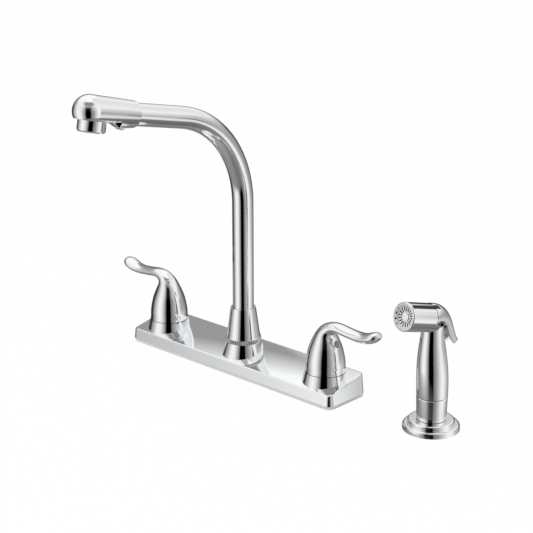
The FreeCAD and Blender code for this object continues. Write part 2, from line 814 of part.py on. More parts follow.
# Washers and nuts that clamp both shanks under the deck
def make_deck_clamps():
    washer = [
        ("shank_radius + seat_gap", NUT_TOP_BELOW),
        ("washer_radius", NUT_TOP_BELOW),
        ("washer_radius", "-deck_thickness"),
        ("shank_radius + seat_gap", "-deck_thickness"),
    ]
    washers = [turned(side + "_washer", washer, (side_x(sign), "0", "0")) for side, sign in SIDES]
    group("deck_washers", washers)
    nuts = []
    for side, sign in SIDES:
        foot = (side_x(sign), "0", NUT_TOP_BELOW + " - mounting_nut_height")
        nuts.append(hex_nut(side + "_mounting_nut", "mounting_nut_radius", "shank_radius + touch_gap",
                            "mounting_nut_height", foot))
    group("mounting_nuts", nuts)


# Centre body: spray nipple below, diverter seat and the bored neck that carries the spout
def make_centre_body():
    bore_foot = "(%s - centre_bore_room)" % JOURNAL_FOOT
    body = new_body("centre_body")
    turn(body, [
        ("nipple_bore_radius", "-nipple_length"),
        ("nipple_radius", "-nipple_length"),
        ("nipple_radius", "barrel_lift"),
        ("barrel_radius", "barrel_lift"),
        ("barrel_radius", BARREL_TOP),
        ("centre_neck_radius", BARREL_TOP),
        ("centre_neck_radius", CENTRE_NECK_TOP),
        ("centre_bore_radius", CENTRE_NECK_TOP),
        ("centre_bore_radius", bore_foot),
        ("diverter_radius + run_gap", bore_foot),
        ("diverter_radius + run_gap", "diverter_seat"),
        ("nipple_bore_radius", "diverter_seat"),
    ])
    sketch = new_sketch(body, "YZ_Plane")
    draw_circle(sketch, "0", "crossover_level", "crossover_radius + touch_gap")
    sockets = feature(body, "Pocket", sketch, Length="2 * (barrel_radius + overrun)")
    sockets.SideType = "Symmetric"
    doc.recompute()
    node(body, "centre_body")
    foot = "(diverter_seat + slip_gap)"
    waist = "(%s + diverter_height / 3)" % foot
    shoulder = "(%s + diverter_height * 2 / 3)" % foot
    piston = [
        ("0", foot),
        ("diverter_radius", foot),
        ("diverter_radius", waist),
        ("diverter_waist_radius", waist),
        ("diverter_waist_radius", shoulder),
        ("diverter_radius", shoulder),
        ("diverter_radius", foot + " + diverter_height"),
        ("0", foot + " + diverter_height"),
    ]
    node(turned("diverter_piston", piston), "diverter_piston")


# Spout nut: a knurled band under a cone that keeps the spout's collar down
def make_spout_nut():
    inside = "centre_neck_radius + touch_gap"
    nut = [
        (inside, "spout_flange_top"),
        ("knurl_radius", "spout_flange_top"),
        ("knurl_radius", KNURL_TOP),
        ("nut_foot_radius", KNURL_TOP),
        ("nut_top_radius", SPOUT_NUT_TOP),
        ("tube_radius + seat_gap", SPOUT_NUT_TOP),
        ("tube_radius + seat_gap", LIP_FOOT),
        (inside, LIP_FOOT),
    ]
    node(turned("spout_nut", nut), "spout_nut")


# Spout: tailpiece with sealing rings, and the bent tube that stands on it
def make_spout_tailpiece():
    journal = "(centre_bore_radius - run_gap)"
    floor = "(%s - ring_groove_depth)" % journal
    outline = [("journal_bore_radius", JOURNAL_FOOT), (journal, JOURNAL_FOOT)]
    rings = []
    for count in range(2):
        low = "(%s + ring_groove_first + %d * ring_groove_pitch)" % (JOURNAL_FOOT, count)
        high = "(%s + ring_groove_width)" % low
        outline += [(journal, low), (floor, low), (floor, high), (journal, high)]
        rings.append(solid(
            "Torus", "spout_ring", ("0", "0", "(%s + %s) / 2" % (low, high)),
            Radius1="(%s + centre_bore_radius) / 2" % floor, Radius2="ring_wire_radius",
        ))
    outline += [
        (journal, COLLAR_FOOT),
        ("collar_radius", COLLAR_FOOT),
        ("collar_radius", COLLAR_TOP),
        ("journal_bore_radius", COLLAR_TOP),
    ]
    node(turned("spout_tailpiece", outline), "spout_tailpiece")
    group("spout_o_rings", rings)


def make_spout_tube():
    body = new_body("spout_tube")
    path = draw(new_sketch(body, "YZ_Plane"), [
        ("0", COLLAR_TOP),
        ("0", BEND_FOOT, "bend_radius", "left"),
        (BEND_END_Y, BEND_END_Z),
        (BEND_END_Y + " - run_length * cos(run_rise * 1 deg)",
         BEND_END_Z + " + run_length * sin(run_rise * 1 deg)"),
    ], closed=False)
    section = new_sketch(body, "XY_Plane", COLLAR_TOP)
    draw_circle(section, "0", "0", "tube_radius")
    draw_circle(section, "0", "0", "tube_radius - tube_wall")
    doc.recompute()
    pipe = body.newObject("PartDesign::AdditivePipe", "spout_tube_pipe")
    pipe.Profile = section
    pipe.Spine = (path, ["Edge1", "Edge2", "Edge3"])
    doc.recompute()
    node(body, "spout_tube")


# Spout head: a flared hood with a round nose, cut flat below where the aerator hangs
def make_spout_head():
    body = new_body("spout_head", ("0", HEAD_Y, HEAD_Z), (1, 0, 0), "90 - run_rise")
    turn(body, [
        ("0", "0"),
        ("head_rear_radius - head_rear_edge", "0"),
        ("head_rear_radius", "head_rear_edge"),
        ("head_front_radius", "head_length - head_front_radius", "head_front_radius", "left"),
        ("0", "head_length"),
    ])
    low = "(-head_front_radius - overrun)"
    front = "(head_length + overrun)"
    below = [
        ("-head_skirt", "head_chin_start + head_chin_run"),
        ("-head_skirt", front),
        (low, front),
        (low, "head_chin_start"),
    ]
    slab(body, below, "4 * head_front_radius", "Pocket")
    wedge = [
        ("-head_skirt / 2", "wedge_front"),
        ("-head_skirt", "wedge_front"),
        ("-wedge_drop", "wedge_low"),
        ("-wedge_drop + wedge_heel", "wedge_rear"),
        ("-head_skirt / 2", "wedge_rear"),
    ]
    slab(body, wedge, "wedge_width", "Pad")
    turn(body, [
        ("0", "-overrun"),
        ("tube_radius + touch_gap", "-overrun"),
        ("tube_radius + touch_gap", "head_overlap"),
        ("head_passage_radius", "head_overlap"),
        ("head_passage_radius", "head_outlet"),
        ("0", "head_outlet"),
    ], "Groove")
    sketch = new_sketch(body, "XZ_Plane", "head_skirt - head_outlet_depth")
    draw_circle(sketch, "0", "head_outlet", "head_outlet_radius + touch_gap")
    outlet = feature(body, "Pocket", sketch, Length="head_front_radius + overrun")
    outlet.Reversed = True
    doc.recompute()
    node(body, "spout_head")


# Aerator: a ring screwed into the head, with its screen and washer
def make_aerator():
    y, z = along(HEAD_Y, HEAD_Z, "run_rise", "head_outlet", "-head_skirt")
    stance = {"at": ("0", y, z), "axis": (-1, 0, 0), "angle": "run_rise"}
    ledge = "(aerator_lip - aerator_height)"
    housing = [
        ("aerator_bore_radius - aerator_lip", "-aerator_height"),
        ("aerator_radius - aerator_bevel", "-aerator_height"),
        ("aerator_radius", "aerator_bevel - aerator_height"),
        ("aerator_radius", "0"),
        ("head_outlet_radius", "0"),
        ("head_outlet_radius", "aerator_neck_length"),
        ("aerator_bore_radius", "aerator_neck_length"),
        ("aerator_bore_radius", ledge),
        ("aerator_bore_radius - aerator_lip", ledge),
    ]
    node(turned("aerator_housing", housing, **stance), "aerator_housing")
    inside = "(aerator_bore_radius - touch_gap)"
    screen_top = "(%s + screen_height)" % ledge
    screen = [
        ("0", ledge + " + screen_dish"),
        (inside + " / 2", ledge + " + screen_dish"),
        (inside, ledge),
        (inside, screen_top),
        ("0", screen_top),
    ]
    node(turned("aerator_screen", screen, **stance), "aerator_screen")
    washer = [
        ("outlet_washer_bore_radius", screen_top),
        (inside, screen_top),
        (inside, screen_top + " + outlet_washer_height"),
        ("outlet_washer_bore_radius", screen_top + " + outlet_washer_height"),
    ]
    node(turned("aerator_washer", washer, **stance), "aerator_washer")


# Sprayer holder: a stepped flange on the deck, its gasket and the nut on its shank
def make_spray_holder():
    at = ("spray_x", "spray_y", "0")
    socket_foot = "(holder_height - holder_socket_depth)"
    holder = [
        ("holder_bore_radius", "-holder_shank_length"),
        ("holder_shank_radius", "-holder_shank_length"),
        ("holder_shank_radius", "holder_gasket_height"),
        ("holder_gasket_radius + touch_gap", "holder_gasket_height"),
        ("holder_gasket_radius + touch_gap", "0"),
        ("holder_radius", "0"),
        ("holder_radius", "holder_foot_height - holder_foot_round", "holder_foot_round", "left"),
        ("holder_radius - holder_foot_round", "holder_foot_height"),
        ("holder_step_radius", "holder_foot_height"),
        ("holder_step_radius", "holder_height - holder_step_round", "holder_step_round", "left"),
        ("holder_step_radius - holder_step_round", "holder_height"),
        ("holder_socket_radius", "holder_height"),
        ("holder_socket_radius", socket_foot),
        ("holder_bore_radius", socket_foot),
    ]
    node(turned("spray_holder", holder, at), "spray_holder")
    gasket = [
        ("holder_shank_radius + touch_gap", "0"),
        ("holder_gasket_radius", "0"),
        ("holder_gasket_radius", "holder_gasket_height"),
        ("holder_shank_radius + touch_gap", "holder_gasket_height"),
    ]
    node(turned("spray_holder_gasket", gasket, at), "spray_holder_gasket")
    foot = ("spray_x", "spray_y", HOLDER_NUT_TOP + " - holder_nut_height")
    nut = hex_nut("spray_holder_nut", "holder_nut_radius", "holder_shank_radius + touch_gap",
                  "holder_nut_height", foot)
    node(nut, "spray_holder_nut")


# Hose coupling: the sprayer's lower sleeve, with a tail in the holder and a swivel spigot
def make_hose_coupling():
    at = ("spray_x", "spray_y", "0")
    inlet_top = "(inlet_depth - tail_drop)"
    coupling = [
        ("inlet_radius", "-tail_drop"),
        ("tail_radius", "-tail_drop"),
        ("tail_radius", COUPLING_FOOT),
        ("coupling_foot_radius", COUPLING_FOOT),
        ("coupling_top_radius", COUPLING_TOP + " - coupling_edge"),
        ("coupling_top_radius - coupling_edge", COUPLING_TOP),
        ("spigot_radius", COUPLING_TOP),
        ("spigot_radius", SPIGOT_TOP),
        ("spigot_bore_radius", SPIGOT_TOP),
        ("spigot_bore_radius", inlet_top),
        ("inlet_radius", inlet_top),
    ]
    node(turned("hose_coupling", coupling, at), "hose_coupling")
    washer = [
        ("spigot_bore_radius", WASHER_FOOT),
        ("spigot_radius - touch_gap", WASHER_FOOT),
        ("spigot_radius - touch_gap", SOCKET_TOP),
        ("spigot_bore_radius", SOCKET_TOP),
    ]
    node(turned("swivel_washer", washer, at), "swivel_washer")


# Sprayer grip and head in one moulding, with the thumb lever's notch and the valve bore
def spray_stance():
    return {"at": ("spray_x", "spray_y", "spray_head_height"), "axis": (1, 0, 0), "angle": "90 - spray_tilt"}


def swung(name, piece):
    """The piece turned about the sprayer's upright axis, as the sprayer stands in its holder."""
    made = doc.addObject("Part::Compound", name + "_swung")
    made.Links = [piece]
    turn = "(spray_turn * 1 deg)"
    at = (
        "spray_x - spray_x * cos(%s) - spray_y * sin(%s)" % (turn, turn),
        "spray_y + spray_x * sin(%s) - spray_y * cos(%s)" % (turn, turn),
        "0",
    )
    place(made, at, (0, 0, -1), "spray_turn")
    doc.recompute()
    return node(made, name)


def pivot_place():
    return along("spray_y", "spray_head_height", "spray_tilt", "pivot_reach", "pivot_lift")


def pivot_rod(name, radius, length):
    """A rod along X through the thumb lever's pivot."""
    y, z = pivot_place()
    at = ("spray_x - (%s) / 2" % length, y, z)
    return solid("Cylinder", name, at, axis=(0, 1, 0), angle="90", Radius=radius, Height=length)


def make_spray_grip():
    rings = []
    for height_share, radius_share, lean_share in GRIP_SHARES:
        ring_y = "spray_y - grip_lean * %s" % lean_share
        ring_z = "%s + %s * %s" % (GRIP_FOOT, GRIP_HEIGHT, height_share)
        rings.append(solid(
            "Circle", "grip_ring", ("spray_x", ring_y, ring_z), Radius="grip_radius * %s" % radius_share))
    head = new_body("spray_head", **spray_stance())
    face_foot = "(spray_head_front - spray_face_thickness)"
    chamber_foot = "(%s - spray_chamber_depth)" % face_foot
    turn(head, [
        ("0", "0"),
        ("spray_core_radius", "0"),
        ("spray_core_radius", "spray_shell_rear"),
        ("spray_head_radius - spray_shell_edge", "spray_shell_rear"),
        ("spray_head_radius", "spray_shell_rear + spray_shell_edge"),
        ("spray_head_radius", "spray_head_front"),
        ("spray_face_radius + touch_gap", "spray_head_front"),
        ("spray_face_radius + touch_gap", face_foot),
        ("spray_chamber_radius", face_foot),
        ("spray_chamber_radius", chamber_foot),
        ("0", chamber_foot),
    ])
    sketch = draw(new_sketch(head, "YZ_Plane"), [
        ("spray_core_radius", "-overrun"),
        ("spray_head_radius + overrun", "-overrun"),
        ("spray_head_radius + overrun", "spray_head_split"),
        ("spray_core_radius", "spray_head_split"),
    ])
    notch = feature(head, "Groove", sketch, Angle="spray_notch_angle * 1 deg")
    notch.ReferenceAxis = (sketch, ["V_Axis"])
    notch.Midplane = True
    doc.recompute()
    moulding = fuse("spray_grip", loft("spray_grip", rings), head)
    socket = solid(
        "Cylinder", "spray_socket", ("spray_x", "spray_y", GRIP_FOOT), Radius="spigot_radius + run_gap",
        Height="%s - %s" % (SOCKET_TOP, GRIP_FOOT),
    )
    valve_level = "spray_head_height - valve_drop"
    passage = solid(
        "Cylinder", "spray_passage", ("spray_x", "spray_y", GRIP_FOOT), Radius="spigot_bore_radius",
        Height="%s - %s" % (valve_level, GRIP_FOOT),
    )
    valve_bore = solid(
        "Cylinder", "spray_valve_bore", ("spray_x", "spray_y - valve_bore_depth", valve_level),
        axis=(-1, 0, 0), angle="90", Radius="valve_bore_radius",
        Height="valve_bore_depth + grip_radius + overrun",
    )
    pin_hole = pivot_rod("spray_pin_hole", "pivot_radius + run_gap", "pivot_length + overrun")
    swung("spray_grip", cut("spray_grip", moulding, socket, passage, valve_bore, pin_hole))


# Spray face: a slotted disc with a boss, held by the rim
def make_spray_face():
    face_foot = "(spray_head_front - spray_face_thickness)"
    body = new_body("spray_face", **spray_stance())
    turn(body, [
        ("0", face_foot),
        ("spray_face_radius", face_foot),
        ("spray_face_radius", "spray_head_front"),
        ("spray_face_boss_radius", "spray_head_front"),
        ("spray_face_boss_radius", "spray_head_front + spray_face_boss_height"),
        ("0", "spray_head_front + spray_face_boss_height"),
    ])
    half = "(spray_slot_width / 2)"
    far = "(spray_slot_reach + spray_slot_length)"
    sketch = draw(new_sketch(body, "XY_Plane", "spray_head_front"), [
        ("spray_slot_reach", "-" + half),
        (far, "-" + half),
        (far, half),
        ("spray_slot_reach", half),
    ])
    slot = feature(body, "Pocket", sketch, Length="spray_face_thickness")
    ring = body.newObject("PartDesign::PolarPattern", "spray_face_slots")
    ring.Originals = [slot]
    ring.Axis = (sketch, ["N_Axis"])
    ring.Angle = 360
    ring.Occurrences = SPRAY_SLOTS
    body.Tip = ring
    doc.recompute()
    swung("spray_face", body)
    front = "(spray_head_front + spray_rim_length)"
    rim = [
        ("spray_rim_bore_radius", "spray_head_front"),
        ("spray_head_radius", "spray_head_front"),
        ("spray_head_radius", front + " - spray_rim_round", "spray_rim_round", "left"),
        ("spray_head_radius - spray_rim_round", front),
        ("spray_rim_bore_radius", front),
    ]
    swung("spray_face_rim", turned("spray_face_rim", rim, **spray_stance()))


# Thumb lever: a hood over the rear of the head that runs down behind the grip
def hood_section(name, y, z, tilt, radius, skirt):
    """A tombstone outline across the hood, its round side facing out and up by tilt."""
    sketch = doc.addObject("Sketcher::SketchObject", name)
    draw(sketch, [
        ("-(%s)" % radius, "-(%s)" % skirt),
        (radius, "-(%s)" % skirt),
        (radius, "0", radius, "left"),
        ("0", radius, radius, "left"),
        ("-(%s)" % radius, "0"),
    ])
    return place(sketch, ("spray_x", y, z), (1, 0, 0), "90 - " + tilt)


def hood(name, shrink, deepen):
    """The hood's outer form, or its hollow when shrunk by the wall and deepened past the skirt."""
    split_y, split_z = along(
        "spray_y", "spray_head_height", "spray_tilt", "spray_head_split - trigger_gap", "0")
    stations = [
        (split_y, split_z, "spray_tilt", "spray_head_radius", "trigger_skirt"),
        ("spray_y + trigger_shoulder_y", "spray_head_height - trigger_shoulder_drop",
         "trigger_shoulder_tilt", "trigger_shoulder_radius", "trigger_skirt"),
        ("spray_y + trigger_back_y", "spray_head_height - trigger_back_drop",
         "trigger_back_tilt", "trigger_back_radius", "trigger_back_skirt"),
        ("spray_y + trigger_tip_y", "spray_head_height - trigger_tip_drop",
         "trigger_back_tilt", "trigger_tip_radius", "trigger_tip_skirt"),
    ]
    sections = []
    for y, z, tilt, radius, skirt in stations:
        sections.append(hood_section(name + "_section", y, z, tilt, radius + shrink, skirt + deepen))
    return loft(name, sections)


def make_spray_trigger():
    outer = hood("trigger_outer", "", "")
    hollow = hood("trigger_hollow", " - trigger_wall", " + overrun")
    hole = pivot_rod("trigger_pin_hole", "pivot_radius + run_gap", "pivot_length")
    swung("spray_trigger", cut("spray_trigger", outer, hollow, hole))
    swung("trigger_pin", pivot_rod("pivot_rod", "pivot_radius", "pivot_length"))


# Spray valve: a sprung stem across the grip that the thumb lever pushes
def valve_stance():
    at = ("spray_x", "spray_y", "spray_head_height - valve_drop")
    return {"at": at, "axis": (-1, 0, 0), "angle": "90"}


def make_spray_valve():
    stem = [
        ("0", "valve_disc_place"),
        ("valve_disc_radius", "valve_disc_place"),
        ("valve_disc_radius", "valve_disc_place + valve_disc_height"),
        ("valve_stem_radius", "valve_disc_place + valve_disc_height"),
        ("valve_stem_radius", "valve_stem_reach"),
        ("0", "valve_stem_reach"),
    ]
    swung("spray_valve_stem", turned("spray_valve_stem", stem, **valve_stance()))
    gland = [
        ("valve_stem_radius + run_gap", "valve_gland_place"),
        ("valve_bore_radius - run_gap", "valve_gland_place"),
        ("valve_bore_radius - run_gap", "valve_gland_place + valve_gland_length"),
        ("valve_stem_radius + run_gap", "valve_gland_place + valve_gland_length"),
    ]
    swung("spray_valve_gland", turned("spray_valve_gland", gland, **valve_stance()))
    foot = "valve_disc_place - touch_gap - spring_wire_radius - spring_length"
    coil = solid(
        "Helix", "spring_path", ("spray_x", "spray_y + " + foot, "spray_head_height - valve_drop"),
        axis=(-1, 0, 0), angle="90", Radius="spring_radius", Height="spring_length",
        Pitch="spring_length / %d" % SPRING_TURNS,
    )
    coil.SegmentLength = 1
    wire = solid(
        "Circle", "spring_wire",
        ("spray_x + spring_radius", "spray_y + " + foot, "spray_head_height - valve_drop"),
        axis=(0, 0, 1), angle="0", Radius="spring_wire_radius",
    )
    doc.recompute()
    spring = doc.addObject("Part::Sweep", "spray_spring_sweep")
    spring.Sections = [wire]
    spring.Spine = (coil, ["Edge%d" % turn for turn in range(1, SPRING_TURNS + 1)])
    spring.Solid = True
    spring.Frenet = True
    doc.recompute()
    swung("spray_spring", spring)


def check_document():
    """Stop on any object that failed, and on any sub-part without a valid solid."""
    doc.recompute()
    for item in doc.Objects:
        if {"Invalid", "Error"} & set(item.State):
            raise RuntimeError("failed: %s %s" % (item.Label, item.State))
    for item in NODES:
        if item.Shape.isNull() or not item.Shape.isValid() or not item.Shape.Solids:
            raise RuntimeError("no valid solid: " + item.Label)


def main():
    make_deck_plate()
    make_deck_gasket()
    for side, sign in SIDES:
        sloped_ring(side + "_base_ring", side_x(sign), "base_ring_foot_radius", "base_ring_top_radius",
                    "base_ring_top", "base_ring_wall", "base_ring_lip", "neck_radius + seat_gap")
        make_valve_body(side, sign)
        make_cartridge(side, sign)
        make_handle(side, sign)
        make_crossover(side, sign)
    make_deck_clamps()
    make_centre_body()
    sloped_ring("spout_flange", "0", "spout_flange_foot_radius", "spout_flange_top_radius",
                "spout_flange_top", "spout_flange_wall", "spout_flange_lip", "centre_neck_radius + seat_gap")
    make_spout_nut()
    make_spout_tailpiece()
    make_spout_tube()
    make_spout_head()
    make_aerator()
    make_spray_holder()
    make_hose_coupling()
    make_spray_grip()
    make_spray_face()
    make_spray_trigger()
    make_spray_valve()
    check_document()
    os.makedirs("parts", exist_ok=True)
    for item in NODES:
        item.Shape.exportStep("parts/%s.step" % item.Label)


main()
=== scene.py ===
"""Looks for a two-handle deck kitchen faucet with a side sprayer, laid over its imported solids."""

import math

import bmesh
import bpy
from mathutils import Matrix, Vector


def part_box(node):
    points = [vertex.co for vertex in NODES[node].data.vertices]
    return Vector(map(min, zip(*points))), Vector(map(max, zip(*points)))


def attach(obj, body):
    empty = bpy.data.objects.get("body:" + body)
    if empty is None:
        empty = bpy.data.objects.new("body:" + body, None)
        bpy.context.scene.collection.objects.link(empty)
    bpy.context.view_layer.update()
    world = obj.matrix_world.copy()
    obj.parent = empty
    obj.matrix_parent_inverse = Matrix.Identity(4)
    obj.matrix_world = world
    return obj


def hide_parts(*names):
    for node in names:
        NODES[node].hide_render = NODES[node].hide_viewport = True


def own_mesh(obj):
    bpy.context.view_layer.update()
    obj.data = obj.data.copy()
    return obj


bl_info = {
    "name": "Kitchen faucet dresser",
    "version": (1, 0, 0),
    "blender": (4, 5, 0),
    "location": "3D View > Sidebar > Faucet",
    "description": "Dresses a two-handle deck faucet and its side sprayer",
    "category": "Object",
}

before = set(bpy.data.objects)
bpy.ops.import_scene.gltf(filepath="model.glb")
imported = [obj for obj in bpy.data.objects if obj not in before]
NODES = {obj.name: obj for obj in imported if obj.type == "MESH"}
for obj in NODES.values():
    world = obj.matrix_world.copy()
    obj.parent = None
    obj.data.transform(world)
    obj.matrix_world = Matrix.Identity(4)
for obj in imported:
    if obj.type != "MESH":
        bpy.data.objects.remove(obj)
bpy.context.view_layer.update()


# Sizes and colours that a user would change
class FaucetFinish(bpy.types.PropertyGroup):
    """Colours and surface detail of the faucet's finishes."""

    chrome: bpy.props.FloatVectorProperty(
        name="Chrome", description="Reflection colour of the plated pieces", subtype="COLOR", size=4,
        min=0, max=1, default=(0.96, 0.97, 0.98, 1))
    chrome_roughness: bpy.props.FloatProperty(
        name="Chrome roughness", description="Blur of the plating's reflections", subtype="FACTOR",
        min=0, max=1, default=0.04)
    moulded_chrome: bpy.props.FloatVectorProperty(
        name="Plated plastic", description="Reflection colour of the sprayer's plated mouldings",
        subtype="COLOR", size=4, min=0, max=1, default=(0.95, 0.96, 0.96, 1))
    brass: bpy.props.FloatVectorProperty(
        name="Brass", description="Colour of the machined brass", subtype="COLOR", size=4, min=0, max=1,
        default=(0.78, 0.57, 0.25, 1))
    copper: bpy.props.FloatVectorProperty(
        name="Copper", description="Colour of the crossover tubes", subtype="COLOR", size=4, min=0, max=1,
        default=(0.80, 0.42, 0.26, 1))
    steel: bpy.props.FloatVectorProperty(
        name="Steel", description="Colour of screws, pin, spring and screen", subtype="COLOR", size=4,
        min=0, max=1, default=(0.60, 0.61, 0.62, 1))
    rubber: bpy.props.FloatVectorProperty(
        name="Rubber", description="Colour of gaskets and seals", subtype="COLOR", size=4, min=0, max=1,
        default=(0.025, 0.025, 0.027, 1))
    gasket: bpy.props.FloatVectorProperty(
        name="Gasket", description="Colour of the foam strip under the deck plate", subtype="COLOR", size=4,
        min=0, max=1, default=(0.80, 0.81, 0.82, 1))
    ceramic: bpy.props.FloatVectorProperty(
        name="Ceramic", description="Colour of the cartridge discs", subtype="COLOR", size=4, min=0, max=1,
        default=(0.85, 0.84, 0.81, 1))
    white_plastic: bpy.props.FloatVectorProperty(
        name="White plastic", description="Colour of the spray face and the holder's nut", subtype="COLOR",
        size=4, min=0, max=1, default=(0.93, 0.94, 0.94, 1))
    grey_plastic: bpy.props.FloatVectorProperty(
        name="Grey plastic", description="Colour of the index buttons", subtype="COLOR", size=4, min=0,
        max=1, default=(0.33, 0.34, 0.35, 1))
    knurl_count: bpy.props.IntProperty(
        name="Knurls", description="Ridges round the spout nut's band", min=12, max=120, default=56)
    knurl_depth: bpy.props.FloatProperty(
        name="Knurl depth", description="Height of the ridges on the spout nut's band", subtype="DISTANCE",
        unit="LENGTH", default=0.0004)
    thread_pitch: bpy.props.FloatProperty(
        name="Thread pitch", description="Rise of the shanks' threads in one turn", subtype="DISTANCE",
        unit="LENGTH", default=0.0018)
    thread_depth: bpy.props.FloatProperty(
        name="Thread depth", description="Height of the shanks' threads", subtype="DISTANCE",
        unit="LENGTH", default=0.0004)


class FaucetStage(bpy.types.PropertyGroup):
    """Camera, floor and light of the picture."""

    camera_place: bpy.props.FloatVectorProperty(
        name="Camera", description="Where the camera stands", subtype="TRANSLATION", unit="LENGTH", size=3,
        default=(0.8746, -0.8985, 0.5020))
    camera_aim: bpy.props.FloatVectorProperty(
        name="Aim", description="Point that the camera looks at", subtype="TRANSLATION", unit="LENGTH",
        size=3, default=(0.0157, 0.0148, 0.0988))
    camera_lens: bpy.props.FloatProperty(
        name="Lens", description="Focal length on a 36 mm sensor, in millimetres", default=96.44)
    floor_size: bpy.props.FloatProperty(
        name="Floor", description="Side of the floor", subtype="DISTANCE", unit="LENGTH", default=12.0)
    floor_glow: bpy.props.FloatProperty(
        name="Floor glow", description="Share of the floor's white that keeps out of the shade",
        subtype="FACTOR", min=0, max=1, default=0.97)
    key_power: bpy.props.FloatProperty(
        name="Key light", description="Power of the large soft light", unit="POWER", default=14.0)
    fill_power: bpy.props.FloatProperty(
        name="Fill light", description="Power of the smaller soft light", unit="POWER", default=7.0)
    room_light: bpy.props.FloatProperty(
        name="Room light", description="Strength of the light from all round", min=0, default=0.55)


def finish():
    return bpy.context.scene.faucet_finish


# Plain colours
WHITE = (1, 1, 1, 1)
BLACK = (0, 0, 0, 1)


# Material helpers
def new_material(name):
    material = bpy.data.materials.new(name)
    material.use_nodes = True
    return material, material.node_tree, material.node_tree.nodes["Principled BSDF"]


def speckle(tree, scale, detail=3.0):
    """Noise fixed to the piece's own place in the frame."""
    place = tree.nodes.new("ShaderNodeTexCoord")
    noise = tree.nodes.new("ShaderNodeTexNoise")
    noise.inputs["Scale"].default_value = scale
    noise.inputs["Detail"].default_value = detail
    tree.links.new(place.outputs["Object"], noise.inputs["Vector"])
    return noise


def spread(tree, source, low, high, socket):
    """Send a texture to a socket as values between low and high."""
    ramp = tree.nodes.new("ShaderNodeMapRange")
    ramp.inputs["From Min"].default_value = 0.3
    ramp.inputs["From Max"].default_value = 0.7
    ramp.inputs["To Min"].default_value = low
    ramp.inputs["To Max"].default_value = high
    tree.links.new(source, ramp.inputs["Value"])
    tree.links.new(ramp.outputs["Result"], socket)


def bump(tree, shader, source, strength, distance):
    relief = tree.nodes.new("ShaderNodeBump")
    relief.inputs["Strength"].default_value = strength
    relief.inputs["Distance"].default_value = distance
    tree.links.new(source, relief.inputs["Height"])
    tree.links.new(relief.outputs["Normal"], shader.inputs["Normal"])


def tint(tree, source, dark, light, socket):
    """Send a texture to a colour socket as a blend of two colours."""
    blend = tree.nodes.new("ShaderNodeMix")
    blend.data_type = "RGBA"
    blend.inputs["A"].default_value = dark
    blend.inputs["B"].default_value = light
    tree.links.new(source, blend.inputs["Factor"])
    tree.links.new(blend.outputs["Result"], socket)


def shade(colour, share):
    return (colour[0] * share, colour[1] * share, colour[2] * share, 1)


def maths(tree, operation, first, second):
    """The result of a maths node; each input is a socket to link or a plain number."""
    node = tree.nodes.new("ShaderNodeMath")
    node.operation = operation
    for place, value in enumerate((first, second)):
        if isinstance(value, (int, float)):
            node.inputs[place].default_value = value
        else:
            tree.links.new(value, node.inputs[place])
    return node.outputs[0]


# Scale of each finish's texture; a larger one is finer
HAZE_SCALE = 60
CASTING_SCALE = 25
TARNISH_SCALE = 90
LATHE_SCALE = 900
CLOUD_SCALE = 140
GRAIN_SCALE = 2600
BLOOM_SCALE = 220
PORE_SCALE = 1500
# Height of the relief on each finish, in metres
CASTING_RELIEF = 0.001
LATHE_RELIEF = 0.0002
GRAIN_RELIEF = 0.0001
PORE_RELIEF = 0.0002


# Finishes
def plating(name, colour, roughness):
    """Bright plating with faint polishing haze."""
    material, tree, shader = new_material(name)
    shader.inputs["Base Color"].default_value = colour
    shader.inputs["Metallic"].default_value = 1
    haze = speckle(tree, HAZE_SCALE)
    spread(tree, haze.outputs["Fac"], roughness * 0.6, roughness * 1.5, shader.inputs["Roughness"])
    return material, tree, shader


def polished_chrome(name, colour, roughness, ripple):
    """Plating with the slight waviness of a casting under it."""
    material, tree, shader = plating(name, colour, roughness)
    waves = speckle(tree, CASTING_SCALE, 1)
    bump(tree, shader, waves.outputs["Fac"], ripple, CASTING_RELIEF)
    return material


def crowned_chrome(name, colour, roughness, crown):
    """Plating on a long cover whose top is very slightly crowned from back to front."""
    material, tree, shader = plating(name, colour, roughness)
    place = tree.nodes.new("ShaderNodeTexCoord")
    parts = tree.nodes.new("ShaderNodeSeparateXYZ")
    tree.links.new(place.outputs["Object"], parts.inputs["Vector"])
    square = maths(tree, "MULTIPLY", parts.outputs["Y"], parts.outputs["Y"])
    height = maths(tree, "MULTIPLY", square, -crown)
    bump(tree, shader, height, 1, 1)
    return material


def turned_metal(name, colour, roughness):
    """Machined metal: fine rings from the lathe and a tarnish that varies over the piece."""
    material, tree, shader = new_material(name)
    shader.inputs["Metallic"].default_value = 1
    tarnish = speckle(tree, TARNISH_SCALE)
    tint(tree, tarnish.outputs["Fac"], shade(colour, 0.72), colour, shader.inputs["Base Color"])
    spread(tree, tarnish.outputs["Fac"], roughness * 0.7, roughness * 1.4, shader.inputs["Roughness"])
    place = tree.nodes.new("ShaderNodeTexCoord")
    rings = tree.nodes.new("ShaderNodeTexWave")
    rings.bands_direction = "Z"
    rings.inputs["Scale"].default_value = LATHE_SCALE
    rings.inputs["Distortion"].default_value = 0.4
    tree.links.new(place.outputs["Object"], rings.inputs["Vector"])
    bump(tree, shader, rings.outputs["Fac"], 0.12, LATHE_RELIEF)
    return material


def moulded_plastic(name, colour, roughness, grain):
    """Moulded plastic or ceramic with a fine grain."""
    material, tree, shader = new_material(name)
    cloud = speckle(tree, CLOUD_SCALE)
    tint(tree, cloud.outputs["Fac"], shade(colour, 0.93), colour, shader.inputs["Base Color"])
    spread(tree, cloud.outputs["Fac"], roughness * 0.8, roughness * 1.25, shader.inputs["Roughness"])
    fine = speckle(tree, GRAIN_SCALE)
    bump(tree, shader, fine.outputs["Fac"], grain, GRAIN_RELIEF)
    return material


